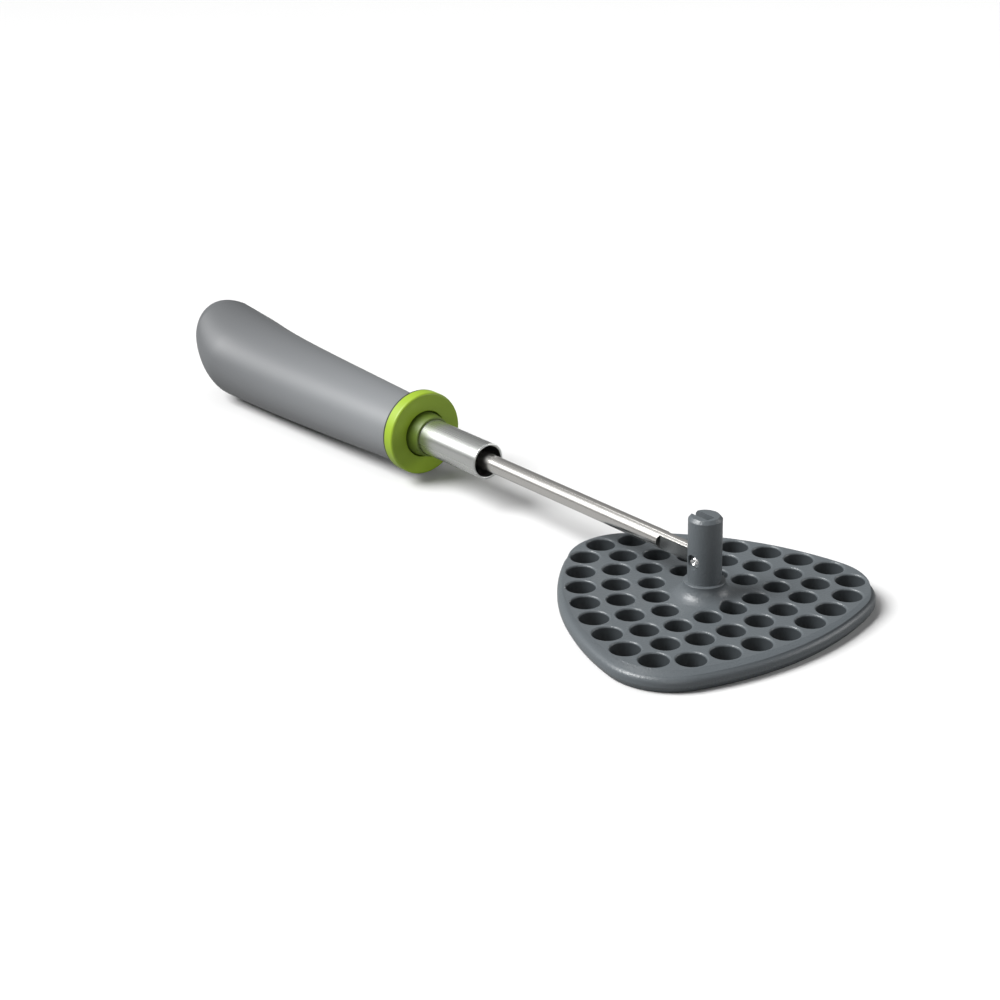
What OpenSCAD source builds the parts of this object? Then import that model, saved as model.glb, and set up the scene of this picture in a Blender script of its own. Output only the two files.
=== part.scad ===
// Folding potato masher with a pierced, domed head hinged on a steel stem.
// A steel sleeve slides out of the handle along the stem to hold the head open.
// Millimetres. The origin lies on the surface under the hinge post.
// +X runs towards the handle, +Y towards the rolled end of the hinge pin, +Z up.

/* [Mashing plate] */
// From the plate's middle to the tip of each of the three rounded corners
corner_reach = 54.6; // [52:0.2:58]
// From the plate's middle to the middle of each bowed side
side_reach = 43.6; // [42.6:0.2:45]
// Radius of the three corners, seen from above
corner_radius = 22.1; // [20:0.1:24]
// How far the plate's middle lies ahead of the hinge post
plate_shift = 1.2; // [0:0.1:3]
// Height of the dome where it runs out at the rim
rim_height = 4.9; // [4.4:0.1:7]
// Rise of the dome from the rim to its level middle
dome_rise = 2.7; // [1:0.1:4]
// Distance from the rim at which the dome would be level
dome_run = 56; // [48:1:80]
// Radius of the rim's upper edge
rim_rounding = 2; // [1:0.1:2.4]
// Height of the line where the rim starts to draw in
rim_crease = 2; // [1:0.1:2.2]
// How far the rim draws in at the foot
foot_inset = 0.9; // [0.4:0.1:1.5]
// Bevel at the foot of the rim
foot_bevel = 0.4; // [0.2:0.1:0.8]

/* [Food holes] */
// Distance from the rim to the middles of the outer ring of holes
ring_margin = 7.3; // [7:0.1:8]
// Distance between one ring of holes and the next
ring_step = 11.05; // [10.8:0.05:11.4]
// Diameter of the outer ring's holes
outer_hole = 9.2; // [6:0.1:9.4]
// Diameter of the middle ring's holes
middle_hole = 8.7; // [6:0.1:9]
// Diameter of the inner ring's holes
inner_hole = 8.2; // [6:0.1:8.4]
// Holes along each side in the outer, middle and inner ring
holes_per_side = [8, 6, 4];
// How far the inner ring's corner holes stand out from their ring
corner_push = 1; // [0:0.1:1.5]
// Radius of the holes' upper edges
hole_rounding = 0.5; // [0.2:0.05:0.6]

/* [Hinge post] */
// Height of the hinge pin above the surface
pivot_height = 19.2; // [18.4:0.1:24]
// Height of the level shoulder round the post's foot
shoulder_height = 12; // [11:0.1:12.6]
// Radius of that shoulder
shoulder_radius = 6.6; // [6.1:0.1:7]
// Radius of the hollow curve from the shoulder down to the plate
boss_fillet = 4.9; // [4.6:0.1:5.3]
// Diameter of the post
post_diameter = 10.6; // [10:0.1:11.4]
// Height of the post's top above the hinge pin
post_top = 14.2; // [9:0.1:14.4]
// Width of the bevel round the post's top
post_bevel = 0.9; // [0.3:0.1:1.2]
// Slope of that bevel, in height for each unit of width
post_bevel_slope = 1.2; // [0.8:0.1:1.6]

/* [Hinge pin] */
// Diameter of the pin's shank
pin_diameter = 3; // [2.4:0.1:3.4]
// Diameter of the pin's two heads
pin_head_diameter = 4.3; // [4:0.1:5]
// Distance from the stem's axis to the floor of each recess
recess_floor = 3.4; // [3:0.1:3.7]
// Thickness of the pin's heads
pin_head_thickness = 0.55; // [0.4:0.05:0.8]
// Radius of the rolled rim on the pin's hollow end
pin_roll = 0.55; // [0.3:0.05:0.6]

/* [Stem] */
// Diameter of the stem
stem_diameter = 6; // [5.6:0.1:6.4]
// Downward tilt of the stem towards the handle, in degrees
stem_tilt = 0.7; // [0:0.1:1]
// From the stem's axis to the tongue's face towards +Y
tongue_near = 2; // [1.4:0.1:2.2]
// From the stem's axis to the tongue's other face
tongue_far = 0.7; // [0.4:0.1:1.4]
// Distance from the pin to the middle of the cutter's last cut
flat_length = 15; // [14.4:0.1:18]
// Diameter of the cutter that leaves the round end of the flats
cutter_diameter = 8; // [7:0.1:10]
// Distance from the pin to the stem's end inside the handle
stem_length = 273.5; // [271:0.1:274]
// Diameter of the cross pin that holds the stem in the handle
anchor_diameter = 2; // [1.4:0.1:2.4]
// Distance from that cross pin to the stem's end
anchor_back = 3; // [2:0.1:4]

/* [Sleeve] */
// Outer diameter of the sleeve
sleeve_diameter = 12.7; // [12:0.1:13]
// Wall of the sleeve
sleeve_wall = 0.8; // [0.5:0.1:1]
// Length of the sleeve
sleeve_length = 158; // [140:1:158]
// Gap between the sleeve, drawn back as it is shown, and the bottom of its bore
sleeve_end_gap = 0.72; // [0.5:0.02:2]
// Bevel of the sleeve's edges
sleeve_bevel = 0.2; // [0.1:0.05:0.3]
// Radius of the stop ring round the sleeve's inner end
stop_ring_radius = 7; // [6.8:0.1:7.1]
// Width of the stop ring
stop_ring_width = 2; // [1:0.1:4]
// Distance from the sleeve's mouth to the bush inside it
bush_depth = 24; // [22:0.5:60]
// Length of the bush inside the sleeve
bush_length = 10; // [4:0.5:20]

/* [Collar and guide bush] */
// Diameter of the green collar
collar_diameter = 29.8; // [28:0.1:32]
// Distance from the pin to the collar's front face
collar_at = 143.1; // [142:0.1:144]
// Width of the collar
collar_width = 5.6; // [5:0.1:7]
// Radius of the collar's edges
collar_rounding = 0.9; // [0.4:0.1:1.4]
// Radius of the opening in the collar's front face
collar_opening = 8.3; // [8.1:0.1:9]
// How far the guide bush stands out of the collar
nose_reach = 4.5; // [2:0.1:6]
// Radius of the guide bush where it leaves the collar
nose_radius = 7.9; // [7.6:0.1:8]
// Radius of the lip at the guide bush's front
lip_radius = 7.1; // [6.9:0.1:7.4]
// Rounding of that lip
lip_rounding = 0.3; // [0.1:0.05:0.35]
// Radius of the guide bush's flange
flange_radius = 10.6; // [10:0.1:11.5]
// Thickness of the guide bush's flange
flange_thickness = 2; // [1.4:0.1:2.6]

/* [Handle] */
// Length of the handle's cover, behind the collar
grip_length = 133; // [131:0.5:140]
// Height of the cover's top at its front end
top_front = 27.6; // [27:0.1:29]
// Steady rise of the cover's top from front to crown
top_rise = 2.4; // [1:0.1:4]
// Further rise of the top, close to the crown
crown_rise = 4.1; // [2:0.1:6]
// Height of the cover's underside at its front end
belly_front = 4.3; // [3:0.1:5]
// Distance from the front end to where the underside meets the surface
belly_run = 96; // [80:1:105]
// Height of the butt's hindmost point
butt_height = 25.1; // [22:0.1:27]
// Length of the curve from the underside up to the butt
butt_curve = 24.3; // [20:0.1:30]
// Length of the curve from the crown down to the butt
crown_curve = 6.4; // [5:0.1:10]
// Width of the cover's section over its height, at the front end
section_front = 1.09; // [1:0.01:1.2]
// Width of the cover's section over its height, at the butt
section_butt = 1.25; // [1.1:0.01:1.3]
// Rounding of the cover's front edge
grip_edge = 0.8; // [0.3:0.1:1.2]
// Radius of the handle's core
core_radius = 9; // [8.6:0.1:9.2]
// Radius of the core's bore, in which the sleeve slides back
core_bore = 7.25; // [7.2:0.05:7.6]
// Radius of the core's narrow hind end, round the stem
core_nose = 5; // [4.4:0.1:5.2]
// Length of the core's narrow hind end
core_nose_length = 6; // [5:0.1:6.4]
// Thickness of the wall that closes the core's bore
core_end_wall = 1.5; // [1:0.1:2]

/* [Fits] */
// Radial clearance of what turns or slides on a shaft
running_fit = 0.05; // [0.03:0.01:0.1]
// Clearance of what is held fast
seat_fit = 0.02; // [0.01:0.01:0.05]
// Clearance each side of the stem's tongue in the post's slot
slot_fit = 0.15; // [0.1:0.05:0.3]

/* [Hidden] */
$fn = 64;
// Turn of the round pieces' first line, so that it meets no edge of the plate
seam_turn = 77;

// The plate's outline: three side arcs that run tangent into three corner arcs
corner_mid = corner_reach - corner_radius;
side_inner = side_reach - corner_radius;
side_mid = (corner_mid * corner_mid - side_inner * side_inner) / (2 * side_inner - corner_mid);
side_arc = side_mid + side_reach;
corner_half = atan2(side_mid * sin(60), corner_mid + side_mid / 2);

// The dome's height and slope at distance d from the rim
function dome(d) = rim_height + dome_rise * (1 - pow(1 - d / dome_run, 2));
function dome_slope(d) = 2 * dome_rise / dome_run * (1 - d / dome_run);
rim_lean = atan(dome_slope(rim_rounding));
rim_round_height = dome(rim_rounding) - rim_rounding / cos(rim_lean);
rim_steps = 4;
dome_rings = [0.28, 0.5, 0.76, 1.1, 1.4, 1.7] * corner_radius;
plate_rings = concat(
    [[foot_inset + foot_bevel, 0], [foot_inset, foot_bevel], [0, rim_crease]],
    [for (i = [0:rim_steps])
        let (t = (90 - rim_lean) * i / rim_steps)
        [rim_rounding * (1 - cos(t)), rim_round_height + rim_rounding * sin(t)]],
    [for (d = dome_rings) [d, dome(d)]]);

// The rings of holes lie on curves at distance d inside the outline
function side_turn(d) =
    d < corner_radius ? corner_half : asin(side_mid * sin(60) / (side_arc - d));
function corner_run(d) = max(corner_radius - d, 0) * corner_half * PI / 180;
function side_run(d) = (side_arc - d) * (120 - 2 * side_turn(d)) * PI / 180;
function ring_run(d) = 2 * corner_run(d) + side_run(d);
function turn_at(d, s) =
    s > ring_run(d) / 2 ? 120 - turn_at(d, ring_run(d) - s)
    : s < corner_run(d) ? s / (corner_radius - d) * 180 / PI
    : side_turn(d) + (s - corner_run(d)) / (side_arc - d) * 180 / PI;
function corner_spot(d, f, to) =
    corner_mid * [cos(to), sin(to)] + (corner_radius - d) * [cos(f), sin(f)];
function spot(d, f) =
    d < corner_radius && f < corner_half ? corner_spot(d, f, 0)
    : d < corner_radius && f > 120 - corner_half ? corner_spot(d, f, 120)
    : (side_arc - d) * [cos(f), sin(f)] - side_mid * [cos(60), sin(60)];
ring_holes = [outer_hole, middle_hole, inner_hole];

// Points of the outline and its inner copies, as a turn t of 0 to 360 degrees.
// In each third the outer quarters of the turn go round the corners.
corner_steps = 6;
side_steps = 14;
outline_steps = [for (k = [0:2])
    for (t = concat(
        [for (i = [0:corner_steps - 1]) 30 * i / corner_steps],
        [for (i = [0:side_steps - 1]) 30 + 60 * i / side_steps],
        [for (i = [0:corner_steps - 1]) 90 + 30 * i / corner_steps]))
    120 * k + t];
function ring_spot(d, t) =
    d >= corner_radius ? spot(d, turn_at(d, t / 120 * ring_run(d)))
    : spot(d, t < 30 ? t / 30 * corner_half
        : t > 90 ? 120 - (120 - t) / 30 * corner_half
        : corner_half + (t - 30) / 60 * (120 - 2 * corner_half));

// Lengths along the stem's axis, from the hinge pin
grip_front = collar_at + collar_width;
core_end = stem_length - core_nose_length + seat_fit;
bore_end = core_end - core_end_wall;
mouth_at = bore_end - sleeve_end_gap - sleeve_length;
bush_radius = sleeve_diameter / 2 - sleeve_wall;
slot_back = stem_diameter / 2 + slot_fit;

// Height of the stem's axis above the surface, and heights taken from that axis
function axis_height(s) = pivot_height - s * sin(stem_tilt);
function from_axis(z, s) = (z - axis_height(s)) / cos(stem_tilt);

// The cover's top and underside, as heights above the surface at distance x
// from its front end
crown_at = grip_length - crown_curve;
butt_at = grip_length - butt_curve;
crown_height = top_front + top_rise + crown_rise;
function round_off(v, p) = pow(max(1 - pow(min(max(v, 0), 1), p), 0), 1 / p);
function top_line(x) =
    x < crown_at
    ? top_front + top_rise * x / crown_at + crown_rise * pow(x / crown_at, 7)
    : butt_height + (crown_height - butt_height) * round_off((x - crown_at) / crown_curve, 3.5);
function belly_line(x) =
    x < butt_at ? belly_front * pow(max(1 - x / belly_run, 0), 1.5)
    : butt_height * (1 - round_off((x - butt_at) / butt_curve, 1.6));
function half_height(x) = (top_line(x) - belly_line(x)) / 2;
function section_ratio(x) =
    section_front + (section_butt - section_front) * pow(x / grip_length, 1.4);
grip_sides = 60;
edge_steps = 3;
body_steps = 14;
butt_steps = 14;
grip_rings = concat(
    [for (i = [0:edge_steps - 1])
        let (t = 90 * i / edge_steps)
        [grip_edge * (1 - cos(t)), grip_edge * (1 - sin(t))]],
    [for (i = [0:body_steps - 1])
        [grip_edge + (butt_at - grip_edge) * i / body_steps, 0]],
    [for (i = [0:butt_steps - 1])
        [butt_at + butt_curve * sin(90 * i / butt_steps), 0]]);

// Puts things on the stem's axis, the axis along +X
module on_stem() {
    translate([0, 0, pivot_height])
    rotate([0, stem_tilt, 0])
    children();
}

// Stands things that are drawn along +Z on the stem's axis at distance s
module along(s) {
    translate([s, 0, 0])
    rotate([0, 90, 0])
    children();
}

module tube(length, outer, inner) {
    difference() {
        cylinder(h = length, r = outer);
        translate([0, 0, -1])
        cylinder(h = length + 2, r = inner);
    }
}

// Lofted through copies of the outline: up the drawn-in foot, over the rounded
// rim and on over the dome, each copy at distance d inside the outline
module plate() {
    n = len(outline_steps);
    rings = len(plate_rings);
    points = [for (ring = plate_rings, t = outline_steps)
        let (at = ring_spot(ring[0], t - 120 * floor(t / 120)),
             k = 120 * floor(t / 120))
        [plate_shift + at[0] * cos(k) - at[1] * sin(k),
         at[0] * sin(k) + at[1] * cos(k), ring[1]]];
    top = [plate_shift, 0, dome(side_reach)];
    foot = [plate_shift, 0, 0];
    walls = [for (r = [0:rings - 2], i = [0:n - 1])
        let (a = r * n + i,
             b = r * n + (i + 1) % n)
        for (f = [[a, a + n, b], [b, a + n, b + n]]) f];
    under = [for (i = [0:n - 1]) [rings * n + 1, i, (i + 1) % n]];
    middle = [for (i = [0:n - 1])
        [rings * n, (rings - 1) * n + (i + 1) % n, (rings - 1) * n + i]];
    polyhedron(points = concat(points, [top, foot]), faces = concat(walls, under, middle));
}

// The shoulder that carries the post, with its hollow curve down to the plate
module boss() {
    foot = shoulder_radius + boss_fillet;
    rotate([0, 0, seam_turn])
    rotate_extrude()
    difference() {
        translate([0, rim_height - 1])
        square([foot, shoulder_height - rim_height + 1]);
        translate([foot, shoulder_height])
        circle(r = boss_fillet);
    }
}

// One food hole, drawn from the dome's surface. Two bevels round its upper edge.
module food_hole(radius) {
    depth = rim_height + dome_rise + 4;
    e = hole_rounding;
    first = e * (1 - cos(45));
    steep = first / (e - first);
    rotate([0, 0, seam_turn])
    rotate_extrude($fn = 32)
    polygon([[0, -depth], [radius, -depth], [radius, -e], [radius + first, -first],
             [radius + 1.2 * e, 0.2 * e * steep], [radius + 1.2 * e, 4], [0, 4]]);
}

// Each hole stands square to the dome where it pierces it
module food_holes() {
    translate([plate_shift, 0, 0])
    for (k = [0:2], ring = [0:2]) {
        d = ring_margin + ring * ring_step;
        inmost = d >= corner_radius;
        rotate([0, 0, 120 * k])
        for (i = [0:holes_per_side[ring] - 1]) {
            f = i == 0 ? 0 : turn_at(d, i * ring_run(d) / holes_per_side[ring]);
            at = i == 0 && inmost ? spot(d, side_turn(d)) + [corner_push, 0] : spot(d, f);
            rim = i == 0 && inmost ? side_arc - norm(at + side_mid * [cos(60), sin(60)]) : d;
            fall = i == 0 && inmost ? cos(side_turn(d)) : 1;
            translate([at[0], at[1], dome(rim)])
            rotate([0, 0, f])
            rotate([0, atan(dome_slope(rim) * fall), 0])
            food_hole(ring_holes[ring] / 2);
        }
    }
}

// Space for the stem's tongue, open to the top and towards the handle
module post_slot() {
    translate([-slot_back, -tongue_far - slot_fit, pivot_height - slot_back])
    cube([slot_back + post_diameter, tongue_far + tongue_near + 2 * slot_fit,
          slot_back + post_top + 1]);
}

module across(length, radius) {
    rotate([90, 0, 0])
    cylinder(h = length, r = radius, center = true);
}

module head_plate() {
    color([0.29, 0.31, 0.34])
    difference() {
        union() {
            plate();
            boss();
        }
        food_holes();
    }
}

// The post stands on the shoulder. A slot takes the stem, recesses the pin's heads.
module hinge_post() {
    radius = post_diameter / 2;
    top = pivot_height + post_top;
    color([0.29, 0.31, 0.34])
    difference() {
        rotate([0, 0, seam_turn])
        rotate_extrude()
        polygon([[0, shoulder_height], [radius, shoulder_height],
                 [radius, top - post_bevel * post_bevel_slope],
                 [radius - post_bevel, top], [0, top]]);
        post_slot();
        translate([0, 0, pivot_height])
        across(2 * post_diameter, pin_diameter / 2 + seat_fit);
        for (side = [0, 180]) {
            translate([0, 0, pivot_height])
            rotate([0, 0, side])
            translate([0, recess_floor + post_diameter / 2, 0])
            across(post_diameter, pin_head_diameter / 2 + seat_fit);
        }
    }
}

// Hollow rivet: one rolled end and one flat head
module pivot_pin() {
    shank = pin_diameter / 2;
    head = pin_head_diameter / 2;
    inner = recess_floor + seat_fit;
    outer = inner + pin_head_thickness;
    hollow = shank - 2 * pin_roll + 0.25;
    color([0.80, 0.80, 0.78])
    translate([0, 0, pivot_height])
    rotate([-90, 0, 0])
    rotate_extrude()
    union() {
        difference() {
            polygon([[0, -outer], [head, -outer], [head, -inner], [shank, -inner],
                     [shank, inner], [head, inner], [head, outer], [0, outer]]);
            translate([0, outer - 2 * pin_roll])
            square([hollow, 3 * pin_roll]);
        }
        translate([hollow + pin_roll, outer])
        circle(r = pin_roll, $fn = 32);
    }
}

// Everything beyond one of the tongue's flats, up to the cutter's round end
module flat_cut(face) {
    width = stem_diameter + 2;
    translate([0, face, 0])
    rotate([-90, 0, 0])
    union() {
        translate([-width, -width / 2, 0])
        cube([width + flat_length, width, width]);
        translate([flat_length, 0, 0])
        cylinder(h = width, d = cutter_diameter);
    }
}

module stem_rod() {
    radius = stem_diameter / 2;
    color([0.78, 0.79, 0.80])
    on_stem()
    difference() {
        along(-radius)
        cylinder(h = stem_length + radius, r = radius);
        flat_cut(tongue_near);
        mirror([0, 1, 0])
        flat_cut(tongue_far);
        difference() {
            translate([-2 * radius, -2 * radius, -2 * radius])
            cube([2 * radius, 4 * radius, 4 * radius]);
            across(5 * radius, radius);
        }
        across(stem_diameter, pin_diameter / 2 + running_fit);
        translate([stem_length - anchor_back, 0, 0])
        across(2 * stem_diameter, anchor_diameter / 2 + seat_fit);
    }
}

module anchor_pin() {
    color([0.66, 0.67, 0.68])
    on_stem()
    translate([stem_length - anchor_back, 0, 0])
    across(2 * core_nose - 1, anchor_diameter / 2);
}

module sleeve_tube() {
    outer = sleeve_diameter / 2;
    inner = outer - sleeve_wall;
    color([0.82, 0.83, 0.84])
    on_stem()
    along(mouth_at)
    rotate_extrude($fn = 96)
    polygon([[inner + sleeve_bevel, 0], [outer - sleeve_bevel, 0], [outer, sleeve_bevel],
             [outer, sleeve_length], [inner, sleeve_length], [inner, sleeve_bevel]]);
}

module sleeve_stop_ring() {
    color([0.55, 0.56, 0.57])
    on_stem()
    along(mouth_at + sleeve_length - stop_ring_width)
    tube(stop_ring_width, stop_ring_radius, sleeve_diameter / 2 + seat_fit);
}

module inner_bush() {
    color([0.09, 0.09, 0.10])
    on_stem()
    along(mouth_at + bush_depth)
    tube(bush_length, bush_radius - seat_fit, stem_diameter / 2 + running_fit);
}

// Bush round the sleeve: a tapered nose, a body in the collar and a flange
module guide_bush() {
    bore = sleeve_diameter / 2 + running_fit;
    body = collar_width - flange_thickness;
    color([0.30, 0.39, 0.12])
    on_stem()
    along(collar_at)
    rotate_extrude($fn = 96)
    union() {
        polygon([[bore, -nose_reach], [lip_radius - lip_rounding, -nose_reach],
                 [lip_radius, lip_rounding - nose_reach], [nose_radius, 0],
                 [nose_radius, body], [flange_radius, body],
                 [flange_radius, collar_width], [bore, collar_width]]);
        translate([lip_radius - lip_rounding, lip_rounding - nose_reach])
        circle(r = lip_rounding, $fn = 32);
    }
}

module collar() {
    outer = collar_diameter / 2;
    recess = collar_width - flange_thickness - seat_fit;
    color([0.50, 0.65, 0.16])
    on_stem()
    along(collar_at)
    rotate_extrude($fn = 96)
    difference() {
        union() {
            translate([collar_opening, 0])
            square([outer - collar_rounding - collar_opening, collar_width]);
            translate([collar_opening, collar_rounding])
            square([outer - collar_opening, collar_width - 2 * collar_rounding]);
            for (x = [collar_rounding, collar_width - collar_rounding]) {
                translate([outer - collar_rounding, x])
                circle(r = collar_rounding, $fn = 32);
            }
        }
        translate([0, recess])
        square([flange_radius + seat_fit, collar_width]);
    }
}

module core_shape(extra) {
    along(grip_front)
    cylinder(h = core_end - grip_front + extra, r = core_radius + extra);
    along(core_end - 1)
    cylinder(h = core_nose_length + 1 + extra, r = core_nose + extra);
}

module handle_core() {
    color([0.20, 0.20, 0.21])
    on_stem()
    difference() {
        core_shape(0);
        along(grip_front - 1)
        cylinder(h = bore_end - grip_front + 1, r = core_bore);
        along(bore_end - 1)
        cylinder(h = core_end + core_nose_length, r = stem_diameter / 2 + seat_fit);
        translate([stem_length - anchor_back, 0, 0])
        across(4 * core_nose, anchor_diameter / 2 + seat_fit);
    }
}

// Lofted through oval sections that follow the top and underside lines
module grip_shape() {
    n = grip_sides;
    rings = len(grip_rings);
    points = [for (ring = grip_rings)
        let (x = ring[0],
             s = grip_front + x,
             h = half_height(x) - ring[1],
             w = half_height(x) * section_ratio(x) - ring[1],
             mid = (top_line(x) + belly_line(x)) / 2)
        for (i = [0:n - 1])
            let (t = 360 * i / n)
            [s, w * cos(t), from_axis(mid + h * sin(t), s)]];
    tip = [grip_front + grip_length, 0, from_axis(butt_height, grip_front + grip_length)];
    middle = [grip_front, 0, from_axis((top_line(0) + belly_line(0)) / 2, grip_front)];
    walls = [for (r = [0:rings - 2], i = [0:n - 1])
        let (a = r * n + i,
             b = r * n + (i + 1) % n)
        for (f = [[a, a + n, b], [b, a + n, b + n]]) f];
    front = [for (i = [0:n - 1]) [rings * n + 1, i, (i + 1) % n]];
    back = [for (i = [0:n - 1])
        [rings * n, (rings - 1) * n + (i + 1) % n, (rings - 1) * n + i]];
    polyhedron(points = concat(points, [tip, middle]), faces = concat(walls, front, back));
}

module grip_cover() {
    color([0.46, 0.47, 0.48])
    on_stem()
    difference() {
        grip_shape();
        translate([-seat_fit, 0, 0])
        core_shape(seat_fit);
        along(grip_front - 1)
        cylinder(h = 2, r = core_radius + seat_fit);
    }
}

head_plate();
hinge_post();
pivot_pin();
stem_rod();
anchor_pin();
sleeve_tube();
sleeve_stop_ring();
inner_bush();
guide_bush();
collar();
handle_core();
grip_cover();
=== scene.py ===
import math

import bmesh
import bpy
import numpy as np
from mathutils import Matrix, Vector
from mathutils.geometry import delaunay_2d_cdt


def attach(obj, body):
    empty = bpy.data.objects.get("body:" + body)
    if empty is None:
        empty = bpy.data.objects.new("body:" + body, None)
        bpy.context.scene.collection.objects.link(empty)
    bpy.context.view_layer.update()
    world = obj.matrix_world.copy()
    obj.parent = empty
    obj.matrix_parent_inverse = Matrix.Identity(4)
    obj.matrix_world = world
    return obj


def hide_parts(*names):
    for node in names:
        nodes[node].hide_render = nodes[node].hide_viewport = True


# A folding potato masher as it lies in the photo: dressed pieces over the solids, camera, floor and lamps.
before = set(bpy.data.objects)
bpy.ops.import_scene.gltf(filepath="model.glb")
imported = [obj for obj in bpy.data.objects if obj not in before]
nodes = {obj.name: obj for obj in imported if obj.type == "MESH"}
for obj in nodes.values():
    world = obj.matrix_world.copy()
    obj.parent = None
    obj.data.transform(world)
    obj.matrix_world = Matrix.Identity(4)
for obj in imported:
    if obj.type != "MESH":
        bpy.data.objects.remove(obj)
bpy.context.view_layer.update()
MM = 0.001

# ---------------------------------------------------------------- camera
SENSOR, FOCAL_PX, PICTURE_PX = 36.0, 2162.60, 1000
cam_data = bpy.data.cameras.new("camera")
cam_data.sensor_width = SENSOR
cam_data.lens = FOCAL_PX / PICTURE_PX * SENSOR
cam_data.clip_start, cam_data.clip_end = 0.01, 50
cam = bpy.data.objects.new("camera", cam_data)
bpy.context.scene.collection.objects.link(cam)
right = Vector((-0.6199809, -0.7843595, -0.0200959))
down = Vector((-0.2984877, 0.2594653, -0.9184677))
ahead = Vector((0.7256230, -0.5634340, -0.3949852))
eye = Vector((-434.490, 415.910, 297.137)) * MM
cam.matrix_world = Matrix.Translation(eye) @ Matrix((right, -down, -ahead)).transposed().to_4x4()
bpy.context.scene.camera = cam

# ---------------------------------------------------------------- sizes, in mm
PIVOT, TILT = 19.2, math.radians(0.7)                  # hinge height, fall of the stem to the handle
CORNER_REACH, SIDE_REACH, CORNER_R = 54.6, 43.6, 22.1  # plate: middle to corner, to side, corner radius
SHIFT = 1.2                                            # plate's middle from the post's
RIM_H, RISE, RUN = 4.9, 2.7, 56.0                      # dome: height at the rim, rise, and over what run
RIM_R, CREASE, FOOT_IN, FOOT_BEVEL = 2.0, 2.0, 0.9, 0.4
HOLES = [(7.3, 8, 4.6), (18.35, 6, 4.35), (29.4, 4, 4.1)]   # rings: inset, holes in a third, radius
FRONT_HOLE_IN = 1.0                                    # inner ring's hole on the corner line, moved inwards
HOLE_EDGE = 0.65                                       # rounding of a hole's upper edge
WIDTH_TRIM = 0.9996                                    # keeps the plate within the solid's facets
SHOULDER_H, SHOULDER_R, SHOULDER_EDGE = 12.0, 6.6, 0.25
BOSS_R, BOSS_SOFT = 4.9, 0.22                          # hollow curve of the boss, its soft join with the dome
POST_R, POST_TOP, POST_FOOT = 5.3, PIVOT + 14.2, SHOULDER_H - 0.6
POST_CHAMFER_H, POST_CHAMFER_W, POST_EDGE = 1.08, 0.9, 0.16
SLOT_END, SLOT_LOW, SLOT_HIGH, SLOT_FLOOR = -3.15, -0.85, 2.15, 3.15
PIN_HOLE_R, PIN_REST_R, PIN_REST_AT = 1.52, 2.45, 3.4
PIN_R, PIN_BACK, PIN_NECK, PIN_FLANGE, PIN_FLANGE_R = 1.5, -3.97, 3.42, 3.6, 2.35
CRIMP_R, CRIMP_TOP, CRIMP_FALL, CRIMP_FOOT, CRIMP_LOBE = 2.3, 4.72, 1.05, 3.5, 0.16
ROD_R, ROD_END, EYE_R = 3, 273.5, 1.55
FLAT_END, FLAT_R, FLAT_FRONT, FLAT_BACK = 18.9, 4, 2.0, -0.7
MILLED_FROM, MILLED_TO, MILLED_R = 2, 19.5, 2.97       # where the tongue's end walls are
MOUTH, SLEEVE_L, SLEEVE_R, SLEEVE_IN = 107.3, 158.0, 6.35, 5.55
LINING_AT, LINING_L, LINING_R, LINING_IN = 24, 10, 5.53, 3.05
COLLAR_AT, COLLAR_W, COLLAR_R, COLLAR_IN = 143.1, 5.6, 14.9, 8.3
STEP_IN, STEP_R, STEP_GAP = 3.6, 10.6, 0.02            # the bush's flange sits in a step of the collar
BUSH_R, BUSH_IN, NOSE_L, NOSE_R, LIP_L, LIP_R = 7.9, 6.4, 4.5, 7.1, 3.9, 7.25
# painted shade: a dark band on the collar's rear edge stands in for the shadow where it meets the handle
GAP_SHADE_W, GAP_SHADE_H = 1.3, 0.45                             # dark line at the collar's rear edge
FRONT = COLLAR_AT + COLLAR_W
GRIP_L, GRIP_IN, GRIP_BORE_END, GRIP_EDGE = 132.98, 9.02, 267.5, 0.8
GRIP_WIDE, GRIP_WIDER = 1.09, 0.16                     # width over height in front, and what the butt adds
TOP_FRONT, TOP_RISE, TOP_HUMP = 27.6, 2.4, 4.09        # top line of the cover
CROWN_L, BUTT_L, BUTT_H = 6.4, 24.3, 25.1              # its rounding at the butt
BELLY_H, BELLY_L = 4.3, 96                             # the belly's clearance in front, and its length
THIRD = 2 * math.pi / 3


def stem(s, y, z):
    """A point of the stem's frame, s along its axis, in the row frame."""
    c, n = math.cos(TILT), math.sin(TILT)
    return (s * c + z * n, y, PIVOT - s * n + z * c)


def off_axis(x, y, z):
    """Distance of a point, in m, from the stem's axis."""
    return math.hypot(y, z - PIVOT * MM + x * math.tan(TILT))


def circle(n):
    """n directions round a circle."""
    return [(math.cos(2 * math.pi * i / n), math.sin(2 * math.pi * i / n)) for i in range(n)]


# ---------------------------------------------------------------- mesh helpers
def new_object(name, verts, faces, smooth=True, sharp=32):
    """An object from points in mm."""
    mesh = bpy.data.meshes.new(name)
    mesh.from_pydata([tuple(c * MM for c in v) for v in verts], [], faces)
    mesh.validate()
    obj = bpy.data.objects.new(name, mesh)
    bpy.context.scene.collection.objects.link(obj)
    tidy(obj, smooth, sharp)
    return obj


def tidy(obj, smooth=True, sharp=32):
    """Welds doubled points, turns faces outwards and marks sharp edges."""
    bm = bmesh.new()
    bm.from_mesh(obj.data)
    bmesh.ops.remove_doubles(bm, verts=bm.verts, dist=1e-7)
    bmesh.ops.recalc_face_normals(bm, faces=bm.faces)
    bm.to_mesh(obj.data)
    bm.free()
    obj.data.polygons.foreach_set("use_smooth", [smooth] * len(obj.data.polygons))
    if smooth:
        obj.data.set_sharp_from_angle(angle=math.radians(sharp))


def weighted(obj):
    """Keeps large faces flat in their shading."""
    m = obj.modifiers.new("normals", "WEIGHTED_NORMAL")
    m.keep_sharp = True
    m.weight = 100


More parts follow.
